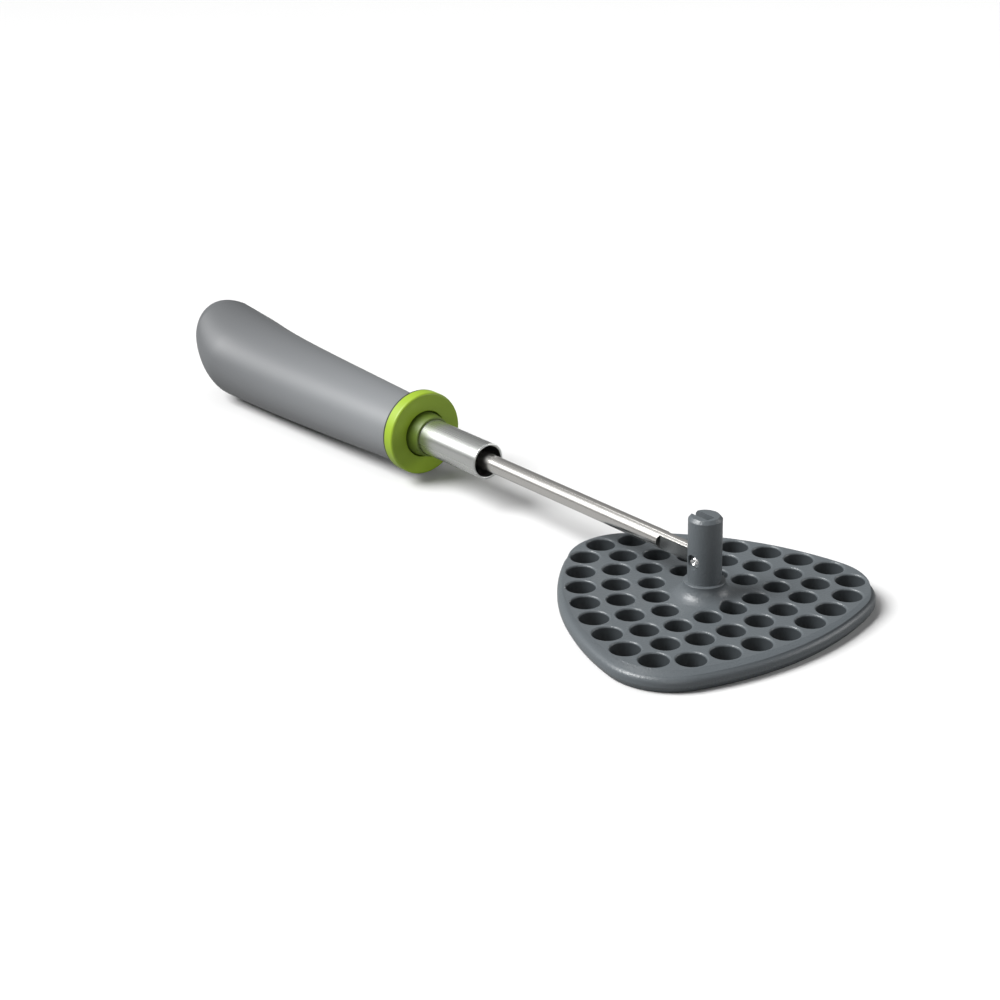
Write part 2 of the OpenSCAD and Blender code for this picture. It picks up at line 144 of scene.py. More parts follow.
def rounded(points, radii, steps=5):
    """A closed outline with its corners rounded."""
    out = []
    n = len(points)
    for i in range(n):
        p, a, b = (np.array(points[j % n], float) for j in (i, i - 1, i + 1))
        r = radii[i]
        if not r:
            out.append(tuple(p))
            continue
        u, v = (a - p) / np.linalg.norm(a - p), (b - p) / np.linalg.norm(b - p)
        half = math.acos(max(-1, min(1, float(u @ v)))) / 2
        cut = r / math.tan(half)
        centre = p + (u + v) / np.linalg.norm(u + v) * (r / math.sin(half))
        s, e = p + u * cut - centre, p + v * cut - centre
        turn = math.acos(max(-1, min(1, float(s @ e) / r / r)))
        for k in range(steps + 1):
            t = k / steps
            q = (math.sin((1 - t) * turn) * s + math.sin(t * turn) * e) / math.sin(turn)
            out.append(tuple(centre + q))
    return out


def lathe(name, outline, place, segments=160, sharp=32):
    """Turns a closed outline of (along, radius) about an axis; place puts a point in the row frame."""
    verts, faces = [], []
    n = len(outline)
    for i in range(segments):
        a = 2 * math.pi * i / segments
        for s, r in outline:
            verts.append(place(s, r * math.cos(a), r * math.sin(a)))
    for i in range(segments):
        j = (i + 1) % segments
        for k in range(n):
            m = (k + 1) % n
            if outline[k][1] < 1e-9 and outline[m][1] < 1e-9:
                continue
            faces.append((i * n + k, j * n + k, j * n + m, i * n + m))
    return new_object(name, verts, faces, True, sharp)


def prism(outline, place, low, high):
    """A tool for cutting: a closed outline drawn out from low to high."""
    n = len(outline)
    verts = [place(u, v, low) for u, v in outline] + [place(u, v, high) for u, v in outline]
    faces = [tuple(range(n)), tuple(range(2 * n - 1, n - 1, -1))]
    faces += [(i, (i + 1) % n, n + (i + 1) % n, n + i) for i in range(n)]
    return new_object("tool", verts, faces, False)


def cut(obj, *tools):
    """Takes each tool away from the object."""
    for tool in tools:
        m = obj.modifiers.new("cut", "BOOLEAN")
        m.operation, m.object, m.solver = "DIFFERENCE", tool, "EXACT"
        dg = bpy.context.evaluated_depsgraph_get()
        mesh = bpy.data.meshes.new_from_object(obj.evaluated_get(dg))
        obj.modifiers.clear()
        obj.data = mesh
        bpy.data.objects.remove(tool)


def soften(obj, width, segments=3, angle=35):
    """Rounds the object's sharp edges."""
    m = obj.modifiers.new("edges", "BEVEL")
    m.width, m.segments, m.limit_method = width * MM, segments, "ANGLE"
    m.angle_limit = math.radians(angle)
    m.harden_normals = True
    m.use_clamp_overlap = True


# ---------------------------------------------------------------- materials
MOTTLE_SCALE = 35


def material(name, colour, rough, metallic=0.0, bump=0.0, grain=900.0, mottle=0.04,
             rough_vary=0.05, stretch=None, painted_shade=None):
    """A moulded or metal surface: mottled colour, varied roughness and a fine grain.

    fade paints shade along x: where it starts and ends, and the colour's factor at its start and end.
    """
    m = bpy.data.materials.new(name)
    m.use_nodes = True
    nt = m.node_tree
    bsdf = nt.nodes["Principled BSDF"]
    bsdf.inputs["Metallic"].default_value = metallic
    coord = nt.nodes.new("ShaderNodeTexCoord")
    mapping = nt.nodes.new("ShaderNodeMapping")
    nt.links.new(coord.outputs["Object"], mapping.inputs["Vector"])
    if stretch:
        mapping.inputs["Scale"].default_value = stretch
    fine = nt.nodes.new("ShaderNodeTexNoise")
    fine.inputs["Scale"].default_value = grain
    fine.inputs["Detail"].default_value = 3
    nt.links.new(mapping.outputs["Vector"], fine.inputs["Vector"])
    broad = nt.nodes.new("ShaderNodeTexNoise")
    broad.inputs["Scale"].default_value = MOTTLE_SCALE
    broad.inputs["Detail"].default_value = 4
    nt.links.new(coord.outputs["Object"], broad.inputs["Vector"])
    mix = nt.nodes.new("ShaderNodeMix")
    mix.data_type = "RGBA"
    mix.inputs["A"].default_value = (*[c * (1 - mottle) for c in colour], 1)
    mix.inputs["B"].default_value = (*[min(1, c * (1 + mottle)) for c in colour], 1)
    nt.links.new(broad.outputs["Fac"], mix.inputs["Factor"])
    tone = mix.outputs["Result"]
    # painted shade: the colour scaled along x
    if painted_shade:
        split = nt.nodes.new("ShaderNodeSeparateXYZ")
        ramp = nt.nodes.new("ShaderNodeMapRange")
        scale = nt.nodes.new("ShaderNodeVectorMath")
        scale.operation = "SCALE"
        for socket, value in zip(("From Min", "From Max", "To Min", "To Max"), painted_shade):
            ramp.inputs[socket].default_value = value
        nt.links.new(coord.outputs["Object"], split.inputs[0])
        nt.links.new(split.outputs["X"], ramp.inputs["Value"])
        nt.links.new(tone, scale.inputs[0])
        nt.links.new(ramp.outputs[0], scale.inputs["Scale"])
        tone = scale.outputs[0]
    nt.links.new(tone, bsdf.inputs["Base Color"])
    span = nt.nodes.new("ShaderNodeMapRange")
    span.inputs["To Min"].default_value = max(0.02, rough - rough_vary)
    span.inputs["To Max"].default_value = rough + rough_vary
    nt.links.new(fine.outputs["Fac"], span.inputs["Value"])
    nt.links.new(span.outputs["Result"], bsdf.inputs["Roughness"])
    if bump:
        b = nt.nodes.new("ShaderNodeBump")
        b.inputs["Strength"].default_value = 1.0
        b.inputs["Distance"].default_value = bump
        nt.links.new(fine.outputs["Fac"], b.inputs["Height"])
        nt.links.new(b.outputs["Normal"], bsdf.inputs["Normal"])
    return m


HEAD = material("head_moulding", (0.096, 0.109, 0.118), 0.36, bump=0.00011, grain=1500, mottle=0.05)
# painted shade: a darker copy of the head's colour for the shade inside the holes
HOLE_WALL_SHADE = material("head_hole_wall_shade", (0.046, 0.053, 0.058), 0.40, mottle=0.05)
# painted shade: the grip's colour darkens towards the butt, standing in for the light falling off there
GRIP = material("grip_satin", (0.188, 0.196, 0.204), 0.40, bump=0.00001, grain=2200, mottle=0.02,
                painted_shade=(0.16, 0.285, 1.04, 0.56))    # a little deeper towards the butt
LIME = material("collar_lime", (0.272, 0.405, 0.021), 0.42, bump=0.00001, grain=1800, mottle=0.03)
# painted shade: a darker copy of the collar's green for the guide nose, which sits in shade
NOSE_SHADED_GREEN = material("bush_olive", (0.104, 0.158, 0.018), 0.45, bump=0.00001, grain=1800, mottle=0.05)
BLACK = material("bush_black", (0.008, 0.008, 0.009), 0.55, bump=0.00001, grain=1600)
CORE = material("core_black", (0.03, 0.03, 0.033), 0.5, bump=0.00001, grain=1600)
STEEL = material("sleeve_polished", (0.74, 0.755, 0.735), 0.28, metallic=1.0, grain=240,
                 rough_vary=0.02, mottle=0.015, stretch=(0.02, 6, 6), bump=0.0000004)
ROD = material("stem_polished", (0.77, 0.755, 0.725), 0.25, metallic=1.0, grain=240,
               rough_vary=0.025, mottle=0.02, stretch=(0.02, 6, 6), bump=0.0000004)
PIN = material("pin_polished", (0.88, 0.88, 0.88), 0.20, metallic=1.0, grain=900, rough_vary=0.02)
# painted shade: dark steel on the tongue's end walls, which stand in shade
MILLED_WALL_SHADE = material("stem_milled_wall_shade", (0.12, 0.12, 0.12), 0.45, metallic=1.0)
# painted shade for the gap between collar and handle
GAP_SHADE = material("collar_gap_shade", (0.022, 0.030, 0.010), 0.5)
# the milled flats: stretched grain from the milling, and a darker colour as painted reflection of the dark plate
# they face
MILLED_DARK_REFLECTION = material("stem_milled_dark_reflection", (0.36, 0.37, 0.37), 0.22, metallic=1.0, grain=900, rough_vary=0.03,
                  stretch=(0.3, 1, 3), bump=0.000003)
HIDDEN = material("turned_steel", (0.5, 0.5, 0.51), 0.35, metallic=1.0, grain=600)


def dress(obj, mat, body, replaces=()):
    """Gives a piece its material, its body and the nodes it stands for."""
    obj.data.materials.clear()
    obj.data.materials.append(mat)
    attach(obj, body)
    if replaces:
        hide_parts(*replaces)


# ---------------------------------------------------------------- head: plate and boss
corner_mid = CORNER_REACH - CORNER_R
side_in = SIDE_REACH - CORNER_R
side_mid = (corner_mid ** 2 - side_in ** 2) / (2 * side_in - corner_mid)
side_arc = side_mid + SIDE_REACH
S60, C60 = math.sin(math.pi / 3), 0.5
corner_half = math.atan2(side_mid * S60, corner_mid + side_mid / 2)


def dome(d):
    """Height of the plate's top at inset d."""
    return RIM_H + RISE * (1 - (1 - d / RUN) ** 2)


def dome_slope(d):
    """Its slope there."""
    return 2 * RISE / RUN * (1 - d / RUN)


def spot(d, f):
    """The point at inset d where the outline's normal has turned by f, within one third."""
    if d < CORNER_R and f < corner_half:
        return np.array([corner_mid + (CORNER_R - d) * math.cos(f), (CORNER_R - d) * math.sin(f)])
    if d < CORNER_R and f > THIRD - corner_half:
        return np.array([corner_mid * math.cos(THIRD) + (CORNER_R - d) * math.cos(f),
                         corner_mid * math.sin(THIRD) + (CORNER_R - d) * math.sin(f)])
    return np.array([(side_arc - d) * math.cos(f) - side_mid * C60,
                     (side_arc - d) * math.sin(f) - side_mid * S60])


def side_turn(d):
    """Turn at which the corner gives way to the side."""
    return corner_half if d < CORNER_R else math.asin(side_mid * S60 / (side_arc - d))


def corner_run(d):
    """Length of half a corner at inset d."""
    return max(CORNER_R - d, 0) * corner_half


def ring_run(d):
    """Length of one third of the ring at inset d."""
    return 2 * corner_run(d) + (side_arc - d) * (THIRD - 2 * side_turn(d))


def turn_at(d, s):
    """Turn after the length s along the ring at inset d."""
    if s > ring_run(d) / 2:
        return THIRD - turn_at(d, ring_run(d) - s)
    if s < corner_run(d):
        return s / (CORNER_R - d)
    return side_turn(d) + (s - corner_run(d)) / (side_arc - d)


def turned(p, k):
    """The point p in the k-th third."""
    a = THIRD * k
    return np.array([p[0] * math.cos(a) - p[1] * math.sin(a), p[0] * math.sin(a) + p[1] * math.cos(a)])


def inset(x, y):
    """Distance from the outline, for arrays of points measured from the plate's middle."""
    best = np.full(np.shape(x), 1e9)
    for k in range(3):
        a = -THIRD * k
        u, v = x * math.cos(a) - y * math.sin(a), x * math.sin(a) + y * math.cos(a)
        best = np.minimum(best, side_arc - np.hypot(u + side_mid * C60, v + side_mid * S60))
        du, dv = u - corner_mid, v
        f = np.abs(np.arctan2(dv, du))
        near = (f < corner_half) & (u > corner_mid * 0.5)
        best = np.where(near, np.minimum(best, CORNER_R - np.hypot(du, dv)), best)
    return best


def height(x, y):
    """The upper surface over a point of the row frame: dome and boss with a soft join."""
    d = inset(x - SHIFT, y)
    base = dome(d)
    rho = np.hypot(x, y)
    q = np.clip(SHOULDER_R + BOSS_R - rho, 0, BOSS_R)
    fillet = SHOULDER_H - np.sqrt(np.maximum(BOSS_R ** 2 - q ** 2, 0))
    fillet = np.where(rho < SHOULDER_R + BOSS_R, fillet, SHOULDER_H - BOSS_R)
    h = np.clip(0.5 + 0.5 * (fillet - base) / BOSS_SOFT, 0, 1)
    return base * (1 - h) + fillet * h + BOSS_SOFT * h * (1 - h)


def normals_of(x, y):
    """Normals of the upper surface."""
    e = 0.02
    hx = (height(x + e, y) - height(x - e, y)) / (2 * e)
    hy = (height(x, y + e) - height(x, y - e)) / (2 * e)
    n = np.stack([-hx, -hy, np.ones_like(hx)], -1)
    return n / np.linalg.norm(n, axis=-1, keepdims=True)


def outline_loop(corner_steps=14, side_steps=34):
    """Turn angles of one third of the outline."""
    turns = [corner_half * i / corner_steps for i in range(corner_steps)]
    turns += [corner_half + (THIRD - 2 * corner_half) * i / side_steps for i in range(side_steps)]
    turns += [THIRD - corner_half + corner_half * i / corner_steps for i in range(corner_steps)]
    return turns


TURNS = outline_loop()


def loop_at(d):
    """The whole outline at inset d, in the row frame."""
    return [turned(spot(d, f), k) + (SHIFT, 0) for k in range(3) for f in TURNS]


OUT_DIR = [turned((math.cos(f), math.sin(f)), k) for k in range(3) for f in TURNS]

# each hole: middle, radius, height of the dome there, lean of its axis and the way it leans
holes = []
for k in range(3):
    for d, count, radius in HOLES:
        for i in range(count):
            f = 0.0 if i == 0 else turn_at(d, i * ring_run(d) / count)
            if i == 0 and d >= CORNER_R:
                p = spot(d, side_turn(d)) + (FRONT_HOLE_IN, 0)
                rim = side_arc - np.hypot(p[0] + side_mid * C60, p[1] + side_mid * S60)
                fall = math.cos(side_turn(d))
            else:
                p, rim, fall = spot(d, f), d, 1.0
            lean = math.atan(dome_slope(rim) * fall)
            p = turned(p, k) + (SHIFT, 0)
            out = turned((math.cos(f), math.sin(f)), k)
            holes.append((p, radius, dome(rim), lean, out))


HOLE_N, BOSS_N = 44, 88                                # points round a hole and round the boss
EDGE_STEPS, RIM_STEPS, FILLET_STEPS, LIP_STEPS = 6, 8, 6, 4
BOSS_LOOP = 6.95                                       # radius where the boss leaves the upper surface's mesh
BOSS_RINGS = (7.25, 7.65, 8.15, 8.75, 9.4, 10.0, 10.6, 11.2)
GRID_STEP, GRID_X, GRID_Y, GRID_CLEAR = 1.15, (-50, 60), (-56, 56), 11.8
RIM_GAP, HOLE_GAP = 0.6, 0.7                           # grid points keep off rim and holes
RING_OUT, RING_GAP, RING_CLEAR = 0.35, 0.4, 11.6       # so do the points of the ring round each hole
CDT_EPSILON = 1e-7


def build_plate():
    """Plate and boss as one closed mesh with exact normals, and the numbers of the hole walls' faces."""
    verts, vnorm, faces, kind, walls = [], [], [], [], []

    def add(p, n):
        verts.append(tuple(p))
        vnorm.append(tuple(n))
        return len(verts) - 1

    def band(a, b, look="s"):
        """Faces between two closed rows of points."""
        n = len(a)
        for i in range(n):
            j = (i + 1) % n
            faces.append((a[i], a[j], b[j], b[i]))
            kind.append(look)

    def ring_band(a, b, look="s"):
        """The same between rows of the outline, which run the other way about."""
        n = len(a)
        for i in range(n):
            j = (i + 1) % n
            faces.append((a[j], a[i], b[i], b[j]))
            kind.append(look)

    rim_lean = math.atan(dome_slope(RIM_R))
    rim_z = dome(RIM_R) - RIM_R / math.cos(rim_lean)
    rim_end = RIM_R * (1 - math.sin(rim_lean))
    # upper surface
    pts, edges = [], []

    def loop(points):
        s = len(pts)
        pts.extend(points)
        n = len(points)
        edges.extend((s + i, s + (i + 1) % n) for i in range(n))
        return list(range(s, s + n))

    hole_dirs = [np.array(u) for u in circle(HOLE_N)]
    boss_dirs = [np.array(u) for u in circle(BOSS_N)]
    rim_ids = loop(loop_at(rim_end))
    hole_ids = [loop([p + u * (radius + HOLE_EDGE) for u in hole_dirs]) for p, radius, *_ in holes]
    boss_ids = loop([u * BOSS_LOOP for u in boss_dirs])
    centres = np.array([h[0] for h in holes])
    radii = np.array([h[1] for h in holes]) + HOLE_EDGE

    def gaps(points):
        """Distance of each point from each hole's edge."""
        return np.hypot(points[:, None, 0] - centres[:, 0], points[:, None, 1] - centres[:, 1]) - radii

    # a triangular grid for the webs, rings round the boss and a ring round each hole
    grid = np.array([(x + (GRID_STEP / 2 if j % 2 else 0), y)
                     for j, y in enumerate(np.arange(*GRID_Y, GRID_STEP * S60))
                     for x in np.arange(*GRID_X, GRID_STEP)])
    ring = np.array([u * r for r in BOSS_RINGS for u in boss_dirs[::2]])
    grid = np.vstack([grid[np.hypot(grid[:, 0], grid[:, 1]) > GRID_CLEAR], ring])
    grid = grid[(inset(grid[:, 0] - SHIFT, grid[:, 1]) > rim_end + RIM_GAP)
                & (np.min(gaps(grid), 1) > HOLE_GAP)]
    extra = np.array([p + u * (radius + HOLE_EDGE + RING_OUT) for p, radius, *_ in holes for u in hole_dirs[::2]])
    extra = extra[(inset(extra[:, 0] - SHIFT, extra[:, 1]) > rim_end + RING_GAP)
                  & (np.sort(gaps(extra), 1)[:, 1] > RING_GAP)
                  & (np.hypot(extra[:, 0], extra[:, 1]) > RING_CLEAR)]
    all_pts = [Vector((float(p[0]), float(p[1]))) for some in (pts, grid, extra) for p in some]
    v2, _, f2, orig, _, _ = delaunay_2d_cdt(all_pts, edges, [], 0, CDT_EPSILON)
    xy = np.array([(v.x, v.y) for v in v2])
    back = {o: i for i, os_ in enumerate(orig) for o in os_}
    z = height(xy[:, 0], xy[:, 1])
    n = normals_of(xy[:, 0], xy[:, 1])
    base = [add((xy[i, 0], xy[i, 1], z[i]), n[i]) for i in range(len(xy))]
    tri = np.array([f for f in f2 if len(f) == 3])
    c = xy[tri].mean(1)
    keep = inset(c[:, 0] - SHIFT, c[:, 1]) > rim_end - 0.02
    flat = radii * math.cos(math.pi / HOLE_N)
    keep &= np.min(np.hypot(c[:, None, 0] - centres[:, 0], c[:, None, 1] - centres[:, 1]) - flat, 1) > 0
    keep &= np.hypot(c[:, 0], c[:, 1]) > BOSS_LOOP * math.cos(math.pi / BOSS_N)
    for t in tri[keep]:
        faces.append(tuple(base[i] for i in t))
        kind.append("s")
    # hole edges and walls
    bottoms = []
    for (p, radius, dome_h, lean, out), ids in zip(holes, hole_ids):
        prev = [base[back[i]] for i in ids]
        for k in range(1, EDGE_STEPS + 1):
            t = math.pi / 2 * k / EDGE_STEPS
            cur = []
            for i, u in enumerate(hole_dirs):
                top = np.array(verts[base[back[ids[i]]]])
                nt = np.array(vnorm[base[back[ids[i]]]])
                r = radius + HOLE_EDGE * (1 - math.sin(t))
                zz = top[2] - HOLE_EDGE * (1 - math.cos(t))
                shift = out * math.tan(lean) * (zz - top[2])
                q = p + u * r + shift
                nn = math.cos(t) * nt + math.sin(t) * np.array([-u[0], -u[1], 0])
                cur.append(add((q[0], q[1], zz), nn / np.linalg.norm(nn)))
            band(prev, cur)
            prev = cur
        bot = []
        shift = -out * math.tan(lean) * dome_h
        for u in hole_dirs:
            q = p + u * radius + shift
            bot.append(add((q[0], q[1], 0.0), (-u[0], -u[1], 0)))
        walls.extend(range(len(faces), len(faces) + HOLE_N))
        band(prev, bot)
        bottoms.append(bot)
    # rounded rim, then side, crease and bevel down to the foot
    prev = [base[back[i]] for i in rim_ids]
    for k in range(1, RIM_STEPS + 1):
        t = rim_lean + (math.pi / 2 - rim_lean) * k / RIM_STEPS
        d_prev, z_prev = RIM_R * (1 - math.sin(t)), rim_z + RIM_R * math.cos(t)
        cur = [add((q[0], q[1], z_prev), (o[0] * math.sin(t), o[1] * math.sin(t), math.cos(t)))
               for q, o in zip(loop_at(d_prev), OUT_DIR)]
        ring_band(prev, cur)
        prev = cur
    for dd, zz in [(0.0, CREASE), (FOOT_IN, FOOT_BEVEL), (FOOT_IN + FOOT_BEVEL, 0.0)]:
        slope = np.array([z_prev - zz, -(dd - d_prev)])
        slope /= np.linalg.norm(slope)
        cur = [add((q[0], q[1], zz), (o[0] * slope[0], o[1] * slope[0], slope[1]))
               for q, o in zip(loop_at(dd), OUT_DIR)]
        ring_band(prev, cur, ("r", slope[0], slope[1]))
        prev, d_prev, z_prev = cur, dd, zz
    foot = prev
    # boss: from the inner loop up to the shoulder, and a closed top under the post
    prev = [base[back[i]] for i in boss_ids]
    start = math.asin((SHOULDER_R + BOSS_R - BOSS_LOOP) / BOSS_R)
    for k in range(1, FILLET_STEPS + 1):
        t = start + (math.pi / 2 - start) * k / FILLET_STEPS
        r = SHOULDER_R + BOSS_R - BOSS_R * math.sin(t)
        zz = SHOULDER_H - BOSS_R * math.cos(t) - SHOULDER_EDGE * k / FILLET_STEPS
        cur = [add((u[0] * r, u[1] * r, zz), (u[0] * math.sin(t), u[1] * math.sin(t), math.cos(t)))
               for u in boss_dirs]
        band(prev, cur)
        prev = cur
    for k in range(1, LIP_STEPS + 1):
        t = math.pi / 2 * k / LIP_STEPS
        r = SHOULDER_R - SHOULDER_EDGE * (1 - math.cos(t))
        zz = SHOULDER_H - SHOULDER_EDGE + SHOULDER_EDGE * math.sin(t)
        cur = [add((u[0] * r, u[1] * r, zz), (u[0] * math.cos(t), u[1] * math.cos(t), math.sin(t)))
               for u in boss_dirs]
        band(prev, cur)
        prev = cur
    faces.append(tuple(prev))
    kind.append("f")
    # underside
    b_pts, b_edges, ids = [], [], []

    def b_loop(vs):
        s = len(b_pts)
        b_pts.extend(Vector((verts[v][0], verts[v][1])) for v in vs)
        ids.extend(vs)
        b_edges.extend((s + i, s + (i + 1) % len(vs)) for i in range(len(vs)))

    b_loop(foot)
    for bot in bottoms:
        b_loop(bot)
    v2, _, f2, orig, _, _ = delaunay_2d_cdt(b_pts, b_edges, [], 0, CDT_EPSILON)
    xy = np.array([(v.x, v.y) for v in v2])
    low_c = np.array([h[0] - h[4] * math.tan(h[3]) * h[2] for h in holes])
    low_r = np.array([h[1] for h in holes])
    flat = low_r * math.cos(math.pi / HOLE_N)
    for f in f2:
        c = xy[list(f)].mean(0)
        if inset(np.array([c[0] - SHIFT]), np.array([c[1]]))[0] < FOOT_IN + FOOT_BEVEL - 0.05:
            continue
        if np.min(np.hypot(c[0] - low_c[:, 0], c[1] - low_c[:, 1]) - flat) < 0:
            continue
        faces.append(tuple(ids[orig[i][0]] for i in reversed(f)))
        kind.append("f")
    # s: the point's own normal; f: flat; r: the row's slope in the point's direction
    mesh = bpy.data.meshes.new("pierced_plate")
    mesh.from_pydata([(x * MM, y * MM * WIDTH_TRIM, z * MM) for x, y, z in verts], [], faces)
    mesh.polygons.foreach_set("use_smooth", [True] * len(faces))
    mesh.update()
    loops = []
    for poly in mesh.polygons:
        kd = kind[poly.index]
        for li in poly.loop_indices:
            v = mesh.loops[li].vertex_index
            if kd == "s":
                loops.append(vnorm[v])
            elif kd == "f":
                loops.append(tuple(poly.normal))
            else:
                nx, ny = vnorm[v][0], vnorm[v][1]
                m = math.hypot(nx, ny) or 1
                loops.append((nx / m * kd[1], ny / m * kd[1], kd[2]))
    mesh.normals_split_custom_set(loops)
    obj = bpy.data.objects.new("pierced_plate", mesh)
    bpy.context.scene.collection.objects.link(obj)
    return obj, walls


plate, hole_walls = build_plate()
dress(plate, HEAD, "head", ["head_plate"])
# painted shade: the hole walls' faces take the darker copy
plate.data.materials.append(HOLE_WALL_SHADE)
for i in hole_walls:
    plate.data.polygons[i].material_index = 1


# ---------------------------------------------------------------- head: hinge post
def upright(s, u, v):
    return (u, v, s)


def pin_tool(radius, low, high):
    """A drill along the hinge pin."""
    outline = [(radius * c, radius * s) for c, s in circle(64)]
    return prism(outline, lambda u, v, w: (u, w, PIVOT + v), low, high)


post_outline = rounded([(POST_FOOT, 0), (POST_FOOT, POST_R), (POST_TOP - POST_CHAMFER_H, POST_R),
                        (POST_TOP, POST_R - POST_CHAMFER_W), (POST_TOP, 0)], [0, 0, 0.3, 0.2, 0], 4)
post = lathe("slotted_post", post_outline, upright, 144)
slot_tool = prism([(SLOT_END, SLOT_LOW), (9, SLOT_LOW), (9, SLOT_HIGH), (SLOT_END, SLOT_HIGH)],
                  lambda u, v, w: (u, v, w), PIVOT - SLOT_FLOOR, POST_TOP + 2)
cut(post, slot_tool, pin_tool(PIN_HOLE_R, -8, 8), pin_tool(PIN_REST_R, PIN_REST_AT, 8),
    pin_tool(PIN_REST_R, -8, -PIN_REST_AT))
tidy(post, True, 30)
soften(post, POST_EDGE)
dress(post, HEAD, "head", ["hinge_post"])

# ---------------------------------------------------------------- hinge pin
pin_outline = rounded([(PIN_BACK, 0), (PIN_BACK, PIN_FLANGE_R), (-PIN_NECK, PIN_FLANGE_R), (-PIN_NECK, PIN_R),
                       (PIN_NECK, PIN_R), (PIN_NECK, PIN_FLANGE_R), (PIN_FLANGE, PIN_FLANGE_R), (PIN_FLANGE, 0)],
                      [0, 0.2, 0, 0, 0, 0.08, 0.08, 0], 4)
pin = lathe("hinge_rivet", pin_outline, lambda s, u, v: (u, s, PIVOT + v), 72)
dress(pin, PIN, "head", ["pivot_pin"])
# its rolled end, a closed crown crimped in three lobes round a small hollow
LOBES, LOBE_TURN, TURN = 3, 0.4, 96
verts, faces = [], []
rows = [(q, None) for q in np.linspace(0.0, CRIMP_R, 19)] + [(CRIMP_R, CRIMP_FOOT), (0.0, CRIMP_FOOT)]
for q, foot_at in rows:
    for i in range(TURN):
        a = 2 * math.pi * i / TURN
        crown = CRIMP_TOP - CRIMP_FALL * abs(2 * q / CRIMP_R - 1)
        lobe = CRIMP_LOBE * math.sin(math.pi * q / CRIMP_R) * math.cos(LOBES * a + LOBE_TURN)
        verts.append((q * math.cos(a), foot_at or crown + lobe, PIVOT + q * math.sin(a)))
for r in range(len(rows) - 1):
    for i in range(TURN):
        j = (i + 1) % TURN
        faces.append((r * TURN + i, r * TURN + j, (r + 1) * TURN + j, (r + 1) * TURN + i))
crimp = new_object("rivet_crimp", verts, faces, True, 60)
dress(crimp, PIN, "head")

# ---------------------------------------------------------------- stem
rod = lathe("stem_bar", rounded([(-ROD_R, 0), (-ROD_R, ROD_R), (ROD_END, ROD_R), (ROD_END, 0)],
                                [0, 0, 0.4, 0], 4), stem, 128)


def across(u, v, w):
    """Puts an outline drawn along and up the stem on its side."""
    return stem(u, w, v)


def flat_tool(low, high):
    """The cutter's path: straight, with the cutter's round end."""
    arc = [(FLAT_END - FLAT_R + FLAT_R * math.sin(a), FLAT_R * math.cos(a)) for a in np.linspace(0, math.pi, 33)]
    return prism([(-6, FLAT_R)] + arc + [(-6, -FLAT_R)], across, low, high)


tongue_end = [(ROD_R * -math.sin(a), ROD_R * math.cos(a)) for a in np.linspace(0, math.pi, 33)]
end_tool = prism([(0, 5)] + tongue_end + [(0, -5), (-6, -5), (-6, 5)], across, -6, 6)
eye_tool = prism([(EYE_R * math.cos(a), EYE_R * math.sin(a)) for a in np.linspace(0, 2 * math.pi, 49)[:-1]],
                 across, -6, 6)
cut(rod, flat_tool(FLAT_FRONT, FLAT_FRONT + 6), flat_tool(FLAT_BACK - 6, FLAT_BACK), end_tool, eye_tool)
tidy(rod, True, 30)
dress(rod, ROD, "handle", ["stem_rod"])
# painted dark reflection: the milled flats (index 1) get the darker steel
rod.data.materials.append(MILLED_DARK_REFLECTION)
# painted shade: the tongue's end walls (index 2) get the dark steel
rod.data.materials.append(MILLED_WALL_SHADE)
for poly in rod.data.polygons:
    x = poly.center.x
    if x < MILLED_TO * MM and abs(poly.normal.y) > 0.99:
        poly.material_index = 1
    elif MILLED_FROM * MM < x < MILLED_TO * MM and off_axis(*poly.center) < MILLED_R * MM:
        poly.material_index = 2

# ---------------------------------------------------------------- sleeve and bushes
sleeve = lathe("sleeve", rounded([(MOUTH, SLEEVE_IN), (MOUTH, SLEEVE_R), (MOUTH + SLEEVE_L, SLEEVE_R),
                                  (MOUTH + SLEEVE_L, SLEEVE_IN)], [0.18, 0.3, 0.1, 0.1], 4), stem, 192)
weighted(sleeve)
dress(sleeve, STEEL, "sleeve", ["sleeve_tube"])

start, end = MOUTH + LINING_AT, MOUTH + LINING_AT + LINING_L
lining = lathe("sleeve_lining", rounded([(start, LINING_IN), (start, LINING_R), (end, LINING_R), (end, LINING_IN)],
                                        [0.3, 0.2, 0.2, 0.3], 3), stem, 96)
dress(lining, BLACK, "sleeve", ["inner_bush"])

bush = lathe("guide_nose", rounded(
    [(COLLAR_AT - NOSE_L, BUSH_IN), (COLLAR_AT - NOSE_L, NOSE_R), (COLLAR_AT - LIP_L, LIP_R), (COLLAR_AT, BUSH_R),
     (COLLAR_AT + STEP_IN, BUSH_R), (COLLAR_AT + STEP_IN, STEP_R), (FRONT, STEP_R), (FRONT, BUSH_IN)],
    [0.15, 0.25, 0.3, 0, 0, 0, 0, 0.1], 4), stem, 160)
weighted(bush)
# painted shade on the guide nose
dress(bush, NOSE_SHADED_GREEN, "handle", ["guide_bush"])

step_at, step_r = COLLAR_AT + STEP_IN - STEP_GAP, STEP_R + STEP_GAP
ring = lathe("collar_ring", rounded(
    [(COLLAR_AT, COLLAR_IN), (COLLAR_AT, COLLAR_R), (FRONT - GAP_SHADE_W, COLLAR_R), (FRONT, COLLAR_R),
     (FRONT, step_r), (step_at, step_r), (step_at, COLLAR_IN)],
    [0.35, 0.9, 0, 0.9, 0, 0, 0], 6), stem, 192)
weighted(ring)
dress(ring, LIME, "handle", ["collar"])
# painted shade: the collar's rear edge gets the dark band
ring.data.materials.append(GAP_SHADE)
for poly in ring.data.polygons:
    if poly.center.x > (FRONT - GAP_SHADE_W) * MM and off_axis(*poly.center) > (COLLAR_R - GAP_SHADE_H) * MM:
        poly.material_index = 1

